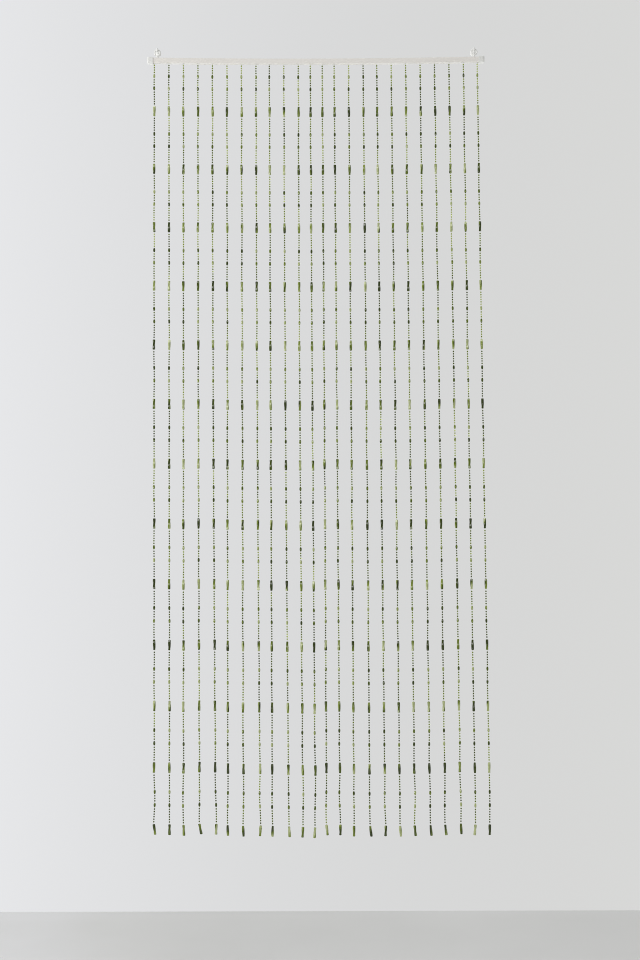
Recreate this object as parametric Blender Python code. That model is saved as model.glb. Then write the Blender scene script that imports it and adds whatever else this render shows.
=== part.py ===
"""Bead curtain: 24 strings of beads under a slim rail that hangs from two wall hooks.

Metres, +Z up, +X to the right and +Y into the wall, whose face is the plane y = 0. The origin lies
in that plane, midway between the two hooks, at the height of their shanks' centre lines. The rail
sags a little between its hooks under the weight of the strings, and what is on it follows.
"""

import math

import bmesh
import bpy

# Sizes of the whole curtain.
RAIL_LENGTH = 0.890  # over the end caps
RAIL_DEEP = 0.012
RAIL_TALL = 0.014
RAIL_CENTRE_Y = -0.016  # the strings hang in this plane too
RAIL_SAG = 0.0038
RAIL_CORNER = 0.0015
RAIL_STEPS = 16  # lengths that the sagging rail is cut into
GAP = 0.0003  # left between pieces that touch

GROOVE_WIDE = 0.0044
GROOVE_DEEP = 0.0050

CAP_LENGTH = 0.0160
CAP_WALL = 0.0014
CAP_END = 0.0020  # thickness of the closed end
CAP_BEVEL = 0.0015

EYE_X = 0.418  # each side of the middle
EYE_OUTER = 0.019
EYE_WIRE = 0.0046
EYE_NECK = 0.0050  # from the ring's foot to the rail's top
EYE_NECK_RADIUS = 0.0020
EYE_COLLAR_RADIUS = 0.0038
EYE_COLLAR_TALL = 0.0016
EYE_SHANK_RADIUS = 0.0015
EYE_SHANK_LENGTH = 0.0070
EYE_SEAT = 0.0004  # collar above the rail, a little over GAP because the rail slopes there
SHANK_HOLE_RADIUS = 0.0019
SHANK_HOLE_DEEP = 0.0078

HOOK_PLATE_RADIUS = 0.0080
HOOK_PLATE_THICK = 0.0020
HOOK_WIRE_RADIUS = 0.0020
HOOK_REACH = 0.0220  # from the wall to the upturned tip's centre line
HOOK_BEND = 0.0040
HOOK_TIP_RISE = 0.0078  # just over the eye's ring

# Sizes of a string of beads. One repeat is six small beads, a long one, three small ones, a long
# one, six small ones and a tube; the first repeat, under the rail, starts partway.
REPEAT = 0.1554
TUBES = 13
TUBE_LENGTH = 0.0270
TUBE_WIDE = 0.0051
SMALL_BEAD_WIDE = 0.0040
FIRST_TUBE_DROP = 0.1287  # from the rail's underside to the first tube's centre
SQUARE_OF_ROUND = 0.9  # side of a square of about the same area, over the round bead's width
STRIP_RECESS = 0.0004  # the strip's underside above the rail's

# How each string hangs, from the left. "gap" is the distance to the next string's root, "sway" how
# far its foot hangs to the right of its root and "bow" how far its middle stands off the straight
# line between the two, in millimetres. "slack" is thread that shows between its beads, which
# lowers its foot by so many millimetres, and "lean" its last tube's, in degrees, foot to the right.
STRING_COLUMNS = ("gap", "sway", "bow", "slack", "lean")
STRINGS = (
    (38.2, 0.0, -0.8, 0.0, 8),
    (38.2, 0.0, 0.0, 0.0, 0),
    (38.2, -3.0, 0.0, 1.0, 3),
    (38.2, 0.0, -1.0, -3.0, 11),
    (38.2, 3.0, -2.0, -3.0, -2),
    (38.2, -5.0, 0.0, 0.0, 2),
    (38.2, -4.0, 0.0, 1.0, 3),
    (35.3, 1.0, -1.8, 0.0, -4),
    (38.2, -4.0, 0.0, 1.0, -2),
    (38.2, 0.0, -1.8, 2.0, 3),
    (31.5, -2.0, -1.8, 3.0, -3),
    (31.5, -2.5, -0.5, 4.0, -4),
    (31.5, -6.0, 0.5, -3.0, 7),
    (38.2, -3.5, 0.5, -3.0, 0),
    (38.2, -6.0, 0.5, 0.0, 0),
    (36.1, -4.0, 0.8, 1.0, 7),
    (38.2, -1.0, 0.0, 0.0, -2),
    (38.2, -1.5, 0.0, 1.0, 4),
    (38.2, -1.5, -0.4, 0.0, 6),
    (38.2, -1.0, 0.0, 0.0, 5),
    (38.2, -1.0, 0.0, -1.0, 7),
    (38.2, 0.5, 0.0, -3.0, 2),
    (36.7, 0.0, -1.0, 0.0, -6),
    (0.0, 0.0, -0.8, 0.0, -1),
)
MM = 0.001

# Heights that follow from the sizes above, at the two eyes.
EYE_HOLE_RADIUS = EYE_OUTER / 2 - EYE_WIRE
RING_Z = HOOK_WIRE_RADIUS + GAP - EYE_HOLE_RADIUS
RAIL_TOP = RING_Z - EYE_OUTER / 2 - EYE_NECK
RAIL_UNDER = RAIL_TOP - RAIL_TALL
STRAND_WIDE = SMALL_BEAD_WIDE * SQUARE_OF_ROUND
TUBE_SQUARE = TUBE_WIDE * SQUARE_OF_ROUND
STRING_DROP = FIRST_TUBE_DROP + (TUBES - 1) * REPEAT + TUBE_LENGTH / 2

# name: colour, roughness, metallic
FINISHES = {
    "rail_finish": ((0.72, 0.69, 0.65), 0.45, 0.0),
    "cap_finish": ((0.78, 0.78, 0.75), 0.40, 0.0),
    "hardware_finish": ((0.78, 0.78, 0.75), 0.35, 0.0),
    "bead_finish": ((0.10, 0.13, 0.035), 0.12, 0.0),
}


def sag(x):
    """How far the rail has bent up or down at x: nought over the eyes, lowest in the middle."""
    return -RAIL_SAG * (1 - (x / EYE_X) ** 2)


def material(name):
    """The named finish as a Principled material, made once."""
    made = bpy.data.materials.get(name)
    if made is None:
        colour, roughness, metallic = FINISHES[name]
        made = bpy.data.materials.new(name)
        made.use_nodes = True
        shader = made.node_tree.nodes["Principled BSDF"]
        shader.inputs["Base Color"].default_value = (*colour, 1.0)
        shader.inputs["Roughness"].default_value = roughness
        shader.inputs["Metallic"].default_value = metallic
    return made


def add_object(name, work, finish=None, smooth_under=None):
    """Turn a bmesh into a named object, with its faces pointing out."""
    bmesh.ops.recalc_face_normals(work, faces=work.faces)
    mesh = bpy.data.meshes.new(name)
    work.to_mesh(mesh)
    work.free()
    made = bpy.data.objects.new(name, mesh)
    bpy.context.scene.collection.objects.link(made)
    if finish:
        mesh.materials.append(material(finish))
    if smooth_under:
        mesh.shade_smooth()
        mesh.set_sharp_from_angle(angle=math.radians(smooth_under))
    return made


def join_rings(work, first, second):
    """Quads between two closed rings of as many vertices."""
    for k in range(len(first)):
        after = (k + 1) % len(first)
        work.faces.new((first[k], first[after], second[after], second[k]))


def lofted(rings):
    """A bmesh through a list of rings of points, with both ends closed."""
    work = bmesh.new()
    made = [[work.verts.new(point) for point in ring] for ring in rings]
    for first, second in zip(made, made[1:]):
        join_rings(work, first, second)
    work.faces.new(made[0])
    work.faces.new(made[-1])
    return work


def cutter(name, work):
    """A hidden wireframe object that a Boolean uses."""
    made = add_object(name, work)
    made.hide_render = True
    made.display_type = "WIRE"
    return made


def boolean(target, operation, other):
    """Cut or join `other` into `target`."""
    step = target.modifiers.new(operation.lower(), "BOOLEAN")
    step.operation = operation
    step.object = other


def rounded_section(deep, tall, corner, steps=2):
    """Points around an upright rectangle with round corners, as (y, z) from its middle, going
    round from the underside's front end."""
    points = []
    corners = ((-1, -1, 180), (-1, 1, 90), (1, 1, 0), (1, -1, -90))
    for side_y, side_z, turn in corners:
        centre_y = side_y * (deep / 2 - corner)
        centre_z = side_z * (tall / 2 - corner)
        for k in range(steps + 1):
            angle = math.radians(turn + 90 - 90 * k / steps)
            points.append((centre_y + corner * math.cos(angle), centre_z + corner * math.sin(angle)))
    return points


def grooved_section():
    """The rail's section: the rounded rectangle with a slot up its underside."""
    bottom = -RAIL_TALL / 2
    slot = [
        (GROOVE_WIDE / 2, bottom),
        (GROOVE_WIDE / 2, bottom + GROOVE_DEEP),
        (-GROOVE_WIDE / 2, bottom + GROOVE_DEEP),
        (-GROOVE_WIDE / 2, bottom),
    ]
    return rounded_section(RAIL_DEEP, RAIL_TALL, RAIL_CORNER) + slot


def on_rail(section, x):
    """A section's (y, z) points set on the sagging rail's centre line at x."""
    middle = RAIL_UNDER + RAIL_TALL / 2 + sag(x)
    return [(x, RAIL_CENTRE_Y + y, middle + z) for y, z in section]


def build_rail():
    """The slim rail, grooved along its underside, with a hole for each eye's shank."""
    half = RAIL_LENGTH / 2 - CAP_END - GAP
    section = grooved_section()
    stations = [half * (2 * k / RAIL_STEPS - 1) for k in range(RAIL_STEPS + 1)]
    rail = add_object("rail", lofted([on_rail(section, x) for x in stations]), "rail_finish", 40)
    for side in (-1, 1):
        hole = bmesh.new()
        bmesh.ops.create_cone(
            hole, cap_ends=True, segments=12, radius1=SHANK_HOLE_RADIUS, radius2=SHANK_HOLE_RADIUS,
            depth=2 * SHANK_HOLE_DEEP,
        )
        name = "shank_hole_left" if side < 0 else "shank_hole_right"
        placed = cutter(name, hole)
        placed.location = (side * EYE_X, RAIL_CENTRE_Y, RAIL_TOP)
        boolean(rail, "DIFFERENCE", placed)


def build_cap(name, side):
    """A push-on end cap: a socket that takes the rail's end, and a closed end with a soft edge."""
    outer_x = RAIL_LENGTH / 2
    mouth_x = outer_x - CAP_LENGTH
    grown = 2 * (GAP + CAP_WALL)
    socket = rounded_section(RAIL_DEEP + 2 * GAP, RAIL_TALL + 2 * GAP, RAIL_CORNER + GAP)
    outside = rounded_section(RAIL_DEEP + grown, RAIL_TALL + grown, RAIL_CORNER + GAP + CAP_WALL)
    end = rounded_section(RAIL_DEEP + grown - 2 * CAP_BEVEL, RAIL_TALL + grown - 2 * CAP_BEVEL,
                          RAIL_CORNER)
    rings = (
        (socket, outer_x - CAP_END),
        (socket, mouth_x),
        (outside, mouth_x),
        (outside, outer_x - CAP_BEVEL),
        (end, outer_x),
    )
    add_object(name, lofted([on_rail(section, side * x) for section, x in rings]), "cap_finish", 50)


def circle(radius, z, steps):
    """Points around a level circle about the Z axis."""
    angles = [2 * math.pi * k / steps for k in range(steps)]
    return [(radius * math.cos(a), radius * math.sin(a), z) for a in angles]


def ring_work(major, minor, steps_round, steps_wire):
    """A round wire ring that faces along Y."""
    work = bmesh.new()
    loops = []
    for k in range(steps_round):
        turn = 2 * math.pi * k / steps_round
        loop = []
        for j in range(steps_wire):
            around = 2 * math.pi * j / steps_wire
            out = major + minor * math.cos(around)
            loop.append(work.verts.new((out * math.cos(turn), minor * math.sin(around),
                                        out * math.sin(turn))))
        loops.append(loop)
    for k, loop in enumerate(loops):
        join_rings(work, loop, loops[(k + 1) % steps_round])
    return work


def build_eye(name, side):
    """A screw eye: a wire ring on a neck and collar, with its shank down in the rail."""
    minor = EYE_WIRE / 2
    eye = add_object(name, ring_work(EYE_OUTER / 2 - minor, minor, 28, 10), "hardware_finish", 60)
    eye.location = (side * EYE_X, RAIL_CENTRE_Y, RING_Z)
    collar_foot = RAIL_TOP - RING_Z + EYE_SEAT
    tip = RAIL_TOP - RING_Z - EYE_SHANK_LENGTH
    profile = (
        (EYE_SHANK_RADIUS * 0.4, tip),
        (EYE_SHANK_RADIUS, tip + 2 * EYE_SHANK_RADIUS),
        (EYE_SHANK_RADIUS, collar_foot),
        (EYE_COLLAR_RADIUS, collar_foot),
        (EYE_COLLAR_RADIUS, collar_foot + EYE_COLLAR_TALL),
        (EYE_NECK_RADIUS, collar_foot + EYE_COLLAR_TALL + 0.0006),
        (EYE_NECK_RADIUS, minor - EYE_OUTER / 2),
    )
    neck = cutter(name + "_neck", lofted([circle(radius, z, 12) for radius, z in profile]))
    neck.location = eye.location
    boolean(eye, "UNION", neck)


def hook_path():
    """Centre points of the hook's wire and the direction it runs in, as (y, z, turn) from its
    wall plate, where the turn goes from nought, straight out, to a quarter turn, straight up."""
    bend_y = -(HOOK_REACH - HOOK_BEND)
    yield -HOOK_PLATE_THICK, 0.0, 0.0
    bend_steps = 5
    for k in range(bend_steps + 1):
        turn = math.pi / 2 * k / bend_steps
        yield bend_y - HOOK_BEND * math.sin(turn), HOOK_BEND * (1 - math.cos(turn)), turn
    yield -HOOK_REACH, HOOK_TIP_RISE - HOOK_WIRE_RADIUS, math.pi / 2


def hook_ring(x, y, z, turn, radius, steps=16):
    """A ring of points square to the hook's wire at one place on its path."""
    ring = []
    for k in range(steps):
        around = 2 * math.pi * k / steps
        across = radius * math.cos(around)
        up = radius * math.sin(around)
        ring.append((x + across, y + up * math.sin(turn), z + up * math.cos(turn)))
    return ring


def build_hook(name, side):
    """A plain cup hook: a round plate flat on the wall, a shank and an upturned, rounded tip."""
    x = side * EYE_X
    edge = 0.0006
    rings = [
        hook_ring(x, 0.0, 0.0, 0.0, HOOK_PLATE_RADIUS),
        hook_ring(x, -HOOK_PLATE_THICK + edge, 0.0, 0.0, HOOK_PLATE_RADIUS),
        hook_ring(x, -HOOK_PLATE_THICK, 0.0, 0.0, HOOK_PLATE_RADIUS - edge),
    ]
    rings += [hook_ring(x, y, z, turn, HOOK_WIRE_RADIUS) for y, z, turn in hook_path()]
    for share in (0.6, 0.95):
        lower = HOOK_WIRE_RADIUS * (1 - share)
        narrow = HOOK_WIRE_RADIUS * math.sqrt(1 - share**2)
        rings.append(hook_ring(x, -HOOK_REACH, HOOK_TIP_RISE - lower, math.pi / 2, narrow))
    add_object(name, lofted(rings), "hardware_finish", 50)


def string_rows():
    """Each string's row of the table by column name, in metres, with its root's place in X."""
    rows = [dict(zip(STRING_COLUMNS, row)) for row in STRINGS]
    x = -sum(row["gap"] for row in rows) * MM / 2
    for row in rows:
        row["x"] = x
        x += row["gap"] * MM
        for column in ("gap", "sway", "bow", "slack"):
            row[column] *= MM
    return rows


def place_on_string(row, drop):
    """X and Z of a string's centre line, `drop` below the rail's underside."""
    share = drop / STRING_DROP
    x = row["x"] + row["sway"] * share + row["bow"] * 4 * share * (1 - share)
    return x, RAIL_UNDER + sag(row["x"]) - drop - row["slack"] * share


def square_ring(x, z, wide):
    """A level square of points, going round from its front left corner."""
    half = wide / 2
    y = RAIL_CENTRE_Y
    return [(x - half, y - half, z), (x + half, y - half, z), (x + half, y + half, z),
            (x - half, y + half, z)]


def strand_rings(row):
    """A string's rings from its first tube down: square, stepping out around each tube."""
    for tube in range(TUBES):
        middle = FIRST_TUBE_DROP + tube * REPEAT
        top_x, top_z = place_on_string(row, middle - TUBE_LENGTH / 2)
        foot_x, foot_z = place_on_string(row, middle + TUBE_LENGTH / 2)
        last = tube == TUBES - 1
        if last:
            foot_x = top_x + TUBE_LENGTH * math.tan(math.radians(row["lean"]))
        yield square_ring(top_x, top_z, STRAND_WIDE)
        yield square_ring(top_x, top_z, TUBE_SQUARE)
        yield square_ring(foot_x, foot_z, TUBE_SQUARE)
        if not last:
            yield square_ring(foot_x, foot_z, STRAND_WIDE)


def build_strings():
    """All the strings on the narrow strip that holds them, hidden in the rail's groove. The strip
    is a square bar; a strand grows out of its underside wherever a string is rooted."""
    work = bmesh.new()
    half = STRAND_WIDE / 2
    rows = string_rows()
    stations = []
    for row in rows:
        for x in (row["x"] - half, row["x"] + half):
            low = RAIL_UNDER + STRIP_RECESS + sag(x)
            corners = ((-half, 0), (half, 0), (half, STRAND_WIDE), (-half, STRAND_WIDE))
            stations.append([work.verts.new((x, RAIL_CENTRE_Y + y, low + z)) for y, z in corners])
    work.faces.new(stations[0])
    work.faces.new(stations[-1])
    for k, (left, right) in enumerate(zip(stations, stations[1:])):
        for a, b in ((1, 2), (2, 3), (3, 0)):
            work.faces.new((left[a], left[b], right[b], right[a]))
        between_strings = k % 2 == 1
        if between_strings:
            work.faces.new((left[0], left[1], right[1], right[0]))
    for k, row in enumerate(rows):
        left, right = stations[2 * k], stations[2 * k + 1]
        ring = [left[0], right[0], right[1], left[1]]
        for points in strand_rings(row):
            lower = [work.verts.new(point) for point in points]
            join_rings(work, ring, lower)
            ring = lower
        work.faces.new(ring)
    add_object("bead_strings", work, "bead_finish")


def main():
    for old in list(bpy.data.objects):
        bpy.data.objects.remove(old, do_unlink=True)
    build_rail()
    for name, side in (("left", -1), ("right", 1)):
        build_cap("end_cap_" + name, side)
        build_eye("eye_" + name, side)
        build_hook("hook_" + name, side)
    build_strings()


main()
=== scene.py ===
"""The bead curtain's looks: 24 strings of clear olive beads under a slim white rail on two wall hooks.

Metres, +Z up, +X to the right and +Y into the wall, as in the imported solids. The origin is the
point in the wall's face midway between the two hooks. Each piece is a surface worked out as whole
arrays: a section carried along a path, or one bead's shape set at every place along the strings.
"""

import math

import bpy
import numpy as np
from mathutils import Matrix


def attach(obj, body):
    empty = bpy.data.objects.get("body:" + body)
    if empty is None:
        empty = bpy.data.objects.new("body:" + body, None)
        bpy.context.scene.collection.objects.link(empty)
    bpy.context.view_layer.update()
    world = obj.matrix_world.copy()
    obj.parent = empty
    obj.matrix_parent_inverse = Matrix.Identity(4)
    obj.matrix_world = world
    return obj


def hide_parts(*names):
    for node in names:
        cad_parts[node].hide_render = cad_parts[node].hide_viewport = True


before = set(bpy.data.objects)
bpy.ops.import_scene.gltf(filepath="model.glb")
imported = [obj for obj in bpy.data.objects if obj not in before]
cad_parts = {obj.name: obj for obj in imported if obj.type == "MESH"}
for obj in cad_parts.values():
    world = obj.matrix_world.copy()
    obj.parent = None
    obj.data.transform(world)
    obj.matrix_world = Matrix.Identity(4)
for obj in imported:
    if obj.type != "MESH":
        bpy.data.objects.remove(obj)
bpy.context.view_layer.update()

# Sizes of the rail and what holds it, as the solids have them.
RAIL_LENGTH = 0.890
RAIL_DEEP = 0.012
RAIL_TALL = 0.014
RAIL_CENTRE_Y = -0.016
RAIL_SAG = 0.0038
RAIL_CORNER = 0.0015
GAP = 0.0003
GROOVE_WIDE = 0.0044
GROOVE_DEEP = 0.0050
CAP_LENGTH = 0.0160
CAP_WALL = 0.0014
CAP_END = 0.0020
CAP_NOSE = np.array((0.0046, 0.0042, 0.0016))  # along the rail, to and fro, and up and down
EYE_X = 0.418
EYE_OUTER = 0.019
EYE_WIRE = 0.0046
EYE_NECK = 0.0050
EYE_NECK_RADIUS = 0.0020
EYE_COLLAR_RADIUS = 0.0038
EYE_COLLAR_TALL = 0.0016
EYE_SHANK_RADIUS = 0.0015
EYE_SHANK_LENGTH = 0.0070
EYE_SEAT = 0.0004
EYE_BEND = 0.0025
EYE_END = 242  # degrees round the ring, from its right side
HOOK_PLATE_RADIUS = 0.0080
HOOK_PLATE_THICK = 0.0020
HOOK_WIRE_RADIUS = 0.0020
HOOK_REACH = 0.0220
HOOK_BEND = 0.0040
HOOK_TIP_RISE = 0.0078

# Sizes of a string.
REPEAT = 0.1554
TUBES = 13
TUBE_LENGTH = 0.0270
TUBE_WIDE = 0.0051
OVAL_LENGTH = 0.0110
OVAL_WIDE = 0.0057
SMALL_LENGTH = 0.0038
SMALL_WIDE = 0.0041
SMALL_PITCH = 0.00632
OVAL_PITCH = 0.01025  # from an oval's middle to the next small bead's
OUTER_SMALLS = 6  # small beads between a tube and an oval
MIDDLE_SMALLS = 3  # and between the two ovals
FIRST_TUBE_DROP = 0.1287
FIRST_SMALLS = 4  # small beads above the first oval, where a full repeat has OUTER_SMALLS
BEAD_SIDES = 7  # facets round a small bead and an oval
TUBE_FLATS = 4
TUBE_STOUT = 1.04  # a tube across its flats, over TUBE_WIDE
TUBE_CUT = 0.20  # its cut corners, over half of that
TUBE_COLLAR = 0.0009
TUBE_COLLAR_WIDE = 0.55  # over the bar's width
THREAD_RADIUS = 0.00023
THREAD_STEP = 0.012
THREAD_TOP = -0.0012  # its ends: up inside the strip, and just inside the last tube
THREAD_END = 0.001
STRIP_RECESS = 0.0004
STRIP_WIDE = 0.0036
STRIP_TALL = 0.0030
STRIP_CORNER = 0.0006
KNOT_HALF = (0.0009, 0.0008, 0.0006)  # along the rail, to and fro, and up and down
KNOT_DROP = 0.0002  # a knot's middle below the strip's underside
KNOT_SIDES = 10
WIRE_SIDES = 20
TURNED_SIDES = 28
HANG_SHORTER = 0.0015  # all the feet hang this much higher than in the solids
HANG_TILT = 0.005  # and the last string's this much lower again, the first one's higher

# How each string hangs, as in the solids: the distance to the next string's root, how far its foot
# hangs to the right, how far its middle bows to the right and how much lower its foot is, in
# millimetres, and its last tube's lean in degrees, foot to the right.
STRING_COLUMNS = ("gap", "sway", "bow", "slack", "lean")
STRINGS = np.array((
    (38.2, 0.0, -0.8, 0.0, 8),
    (38.2, 0.0, 0.0, 0.0, 0),
    (38.2, -3.0, 0.0, 1.0, 3),
    (38.2, 0.0, -1.0, -3.0, 11),
    (38.2, 3.0, -2.0, -3.0, -2),
    (38.2, -5.0, 0.0, 0.0, 2),
    (38.2, -4.0, 0.0, 1.0, 3),
    (35.3, 1.0, -1.8, 0.0, -4),
    (38.2, -4.0, 0.0, 1.0, -2),
    (38.2, 0.0, -1.8, 2.0, 3),
    (31.5, -2.0, -1.8, 3.0, -3),
    (31.5, -2.5, -0.5, 4.0, -4),
    (31.5, -6.0, 0.5, -3.0, 7),
    (38.2, -3.5, 0.5, -3.0, 0),
    (38.2, -6.0, 0.5, 0.0, 0),
    (36.1, -4.0, 0.8, 1.0, 7),
    (38.2, -1.0, 0.0, 0.0, -2),
    (38.2, -1.5, 0.0, 1.0, 4),
    (38.2, -1.5, -0.4, 0.0, 6),
    (38.2, -1.0, 0.0, 0.0, 5),
    (38.2, -1.0, 0.0, -1.0, 7),
    (38.2, 0.5, 0.0, -3.0, 2),
    (36.7, 0.0, -1.0, 0.0, -6),
    (0.0, 0.0, -0.8, 0.0, -1),
))
MM = 0.001

EYE_HOLE_RADIUS = EYE_OUTER / 2 - EYE_WIRE
RING_Z = HOOK_WIRE_RADIUS + GAP - EYE_HOLE_RADIUS
RAIL_TOP = RING_Z - EYE_OUTER / 2 - EYE_NECK
RAIL_UNDER = RAIL_TOP - RAIL_TALL
SMALL_PITCHES = 2 * (OUTER_SMALLS - 1) + MIDDLE_SMALLS - 1  # in a repeat
TUBE_PITCH = (REPEAT - SMALL_PITCHES * SMALL_PITCH - 4 * OVAL_PITCH) / 2  # to the next small bead's
STRING_DROP = FIRST_TUBE_DROP + (TUBES - 1) * REPEAT + TUBE_LENGTH / 2

DRAW = np.random.default_rng(24)


# ---------------------------------------------------------------- finishes


class Value:
    """A shader socket in Python arithmetic: every operator adds one Math node to its finish."""

    def __init__(self, finish, socket):
        self.finish = finish
        self.socket = socket

    def maths(self, operation, *terms):
        return self.finish.node("ShaderNodeMath", {"operation": operation}, dict(enumerate(terms)))

    def __add__(self, other):
        return self.maths("ADD", self, other)

    __radd__ = __add__

    def __sub__(self, other):
        return self.maths("SUBTRACT", self, other)

    def __rsub__(self, other):
        return self.maths("SUBTRACT", other, self)

    def __mul__(self, other):
        return self.maths("MULTIPLY", self, other)

    __rmul__ = __mul__

    def kept(self, low, high):
        """Held between two numbers."""
        return self.maths("MINIMUM", self.maths("MAXIMUM", self, low), high)

    def ramp(self, stops):
        """Colours read off a ramp of (place, colour) stops."""
        return self.finish.node("ShaderNodeValToRGB", {"stops": stops}, {0: self})


class Finish:
    """A Principled material built up by expressions."""

    def __init__(self, name, **constants):
        self.material = bpy.data.materials.new(name)
        self.material.use_nodes = True
        self.tree = self.material.node_tree
        self.shader = self.tree.nodes["Principled BSDF"]
        for label, value in constants.items():
            self.shader.inputs[label.replace("_", " ").title().replace("Ior", "IOR")].default_value = value

    def node(self, kind, settings=None, inputs=None, output=0):
        """Any node: its settings first, then the values or links of its sockets."""
        made = self.tree.nodes.new(kind)
        for label, value in (settings or {}).items():
            if label == "stops":
                self.set_stops(made.color_ramp.elements, value)
            else:
                setattr(made, label, value)
        for label, value in (inputs or {}).items():
            if isinstance(value, Value):
                self.tree.links.new(value.socket, made.inputs[label])
            else:
                made.inputs[label].default_value = value
        return Value(self, made.outputs[output])

    @staticmethod
    def set_stops(elements, stops):
        while len(elements) < len(stops):
            elements.new(0.5)
        for element, (place, colour) in zip(elements, stops):
            element.position = place
            element.color = (*colour, 1.0)

    def attribute(self, name):
        """A number stored on the mesh."""
        return self.node("ShaderNodeAttribute", {"attribute_name": name}, output="Fac")

    def noise(self, scale, detail=2.0, stretch=(1, 1, 1)):
        """Cloudy noise on Object coordinates, from 0 to 1, stretched along an axis under 1."""
        place = self.node("ShaderNodeTexCoord", output="Object")
        mapped = self.node("ShaderNodeMapping", None, {"Vector": place, "Scale": stretch})
        return self.node("ShaderNodeTexNoise", None, {"Vector": mapped, "Scale": scale, "Detail": detail})

    def bump(self, height, distance, strength=1.0):
        inputs = {"Height": height, "Distance": distance, "Strength": strength}
        return self.node("ShaderNodeBump", None, inputs, "Normal")

    def feed(self, label, value):
        self.tree.links.new(value.socket, self.shader.inputs[label])


def bead_finish(name, stops, clear, gloss):
    """Glossy, clear moulded plastic. Each bead's tone picks its colour from dark olive to pale green,
    clouded a little within the bead, and the moulded skin ripples very slightly. The tone is partly
    painted light: the pale end of the ramp is a painted reflection of the window in the facets."""
    finish = Finish(name, transmission_weight=clear, ior=1.46, coat_weight=gloss, coat_roughness=0.12)
    cloud = finish.noise(260.0)
    tone = finish.attribute("tone") + (cloud - 0.5) * 0.08
    finish.feed("Base Color", tone.kept(0.0, 1.0).ramp(stops))
    finish.feed("Roughness", 0.04 + finish.noise(900.0) * 0.06)
    finish.feed("Normal", finish.bump(finish.noise(300.0), 0.0001, 0.2))
    return finish.material


def thread_finish():
    """Clear grey-green line, with faint lengthwise changes of tone."""
    finish = Finish("clear_line", transmission_weight=0.3, ior=1.45)
    streak = finish.noise(60.0, 1.0, (1, 1, 0.2))
    finish.feed("Base Color", streak.ramp(((0.3, (0.34, 0.38, 0.17)), (0.7, (0.50, 0.54, 0.30)))))
    finish.feed("Roughness", 0.25 + streak * 0.15)
    return finish.material


def rail_finish():
    """Warm white satin coat on the rail: fine lengthwise lines and faint clouding."""
    finish = Finish("rail_satin", specular_ior_level=0.45)
    lines = finish.noise(900.0, 2.0, (0.004, 1, 1))
    cloud = finish.noise(14.0, 3.0, (0.4, 1, 1))
    finish.feed("Base Color", (lines * 0.4 + cloud * 0.6).ramp(
        ((0.25, (0.765, 0.735, 0.695)), (0.5, (0.79, 0.765, 0.725)), (0.75, (0.81, 0.785, 0.75)))))
    finish.feed("Roughness", 0.38 + cloud * 0.16)
    finish.feed("Normal", finish.bump(lines, 0.00006, 0.5))
    return finish.material


def moulded_finish():
    """White moulded plastic of the end caps, with a very fine grain."""
    finish = Finish("cap_plastic", specular_ior_level=0.5)
    grain = finish.noise(2200.0, 3.0)
    cloud = finish.noise(90.0)
    finish.feed("Base Color", cloud.ramp(((0.3, (0.74, 0.745, 0.72)), (0.7, (0.79, 0.79, 0.77)))))
    finish.feed("Roughness", 0.34 + grain * 0.18)
    finish.feed("Normal", finish.bump(grain, 0.00004, 0.4))
    return finish.material


def coated_finish():
    """White dipped coat on the eyes' and hooks' wire: glossy, a little uneven, greyer where it has
    run thin."""
    finish = Finish("white_coat", coat_weight=0.25)
    run = finish.noise(220.0, 2.0)
    thin = finish.noise(700.0, 3.0)
    finish.feed("Base Color", (run * 0.7 + thin * 0.3).ramp(
        ((0.3, (0.79, 0.79, 0.77)), (0.45, (0.82, 0.82, 0.80)), (0.8, (0.85, 0.85, 0.83)))))
    finish.feed("Roughness", 0.22 + thin * 0.16)
    finish.feed("Normal", finish.bump(run, 0.00010, 0.5))
    return finish.material


# ---------------------------------------------------------------- meshes from arrays


def add_piece(name, points, face_groups, finish, smooth_under, tones=None):
    """A mesh from an array of points and arrays of faces, one array for each number of corners.
    Edges sharper than `smooth_under` degrees stay sharp; 0 leaves every face flat. `tones` has a
    number for every corner of every face."""
    mesh = bpy.data.meshes.new(name)
    points = np.asarray(points, float).reshape(-1, 3)
    corners = np.concatenate([group.ravel() for group in face_groups])
    totals = np.concatenate([np.full(len(group), group.shape[1]) for group in face_groups])
    starts = np.concatenate(([0], np.cumsum(totals)[:-1]))
    mesh.vertices.add(len(points))
    mesh.vertices.foreach_set("co", points.ravel())
    mesh.loops.add(len(corners))
    mesh.loops.foreach_set("vertex_index", corners.astype(np.int32))
    mesh.polygons.add(len(totals))
    mesh.polygons.foreach_set("loop_start", starts.astype(np.int32))
    mesh.polygons.foreach_set("loop_total", totals.astype(np.int32))
    mesh.update(calc_edges=True)
    mesh.validate()
    if tones is not None:
        made = mesh.attributes.new("tone", "FLOAT", "CORNER")
        made.data.foreach_set("value", tones.astype(np.float32))
    if smooth_under:
        mesh.shade_smooth()
        mesh.set_sharp_from_angle(angle=math.radians(smooth_under))
    else:
        mesh.shade_flat()
    mesh.materials.append(finish)
    piece = bpy.data.objects.new(name, mesh)
    bpy.context.scene.collection.objects.link(piece)
    return piece


def ring_faces(rings, around):
    """Faces of a closed skin through `rings` rings of `around` points, each ring's points going
    anticlockwise as seen from beyond the last ring: quads between rings and a cap at each end."""
    ring = np.arange(rings - 1)[:, None] * around
    step = np.arange(around)[None, :]
    after = (step + 1) % around
    quads = np.stack([ring + step, ring + after, ring + around + after, ring + around + step], -1)
    caps = np.stack([np.arange(around)[::-1], np.arange(around) + (rings - 1) * around])
    return [quads.reshape(-1, 4), caps]


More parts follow.
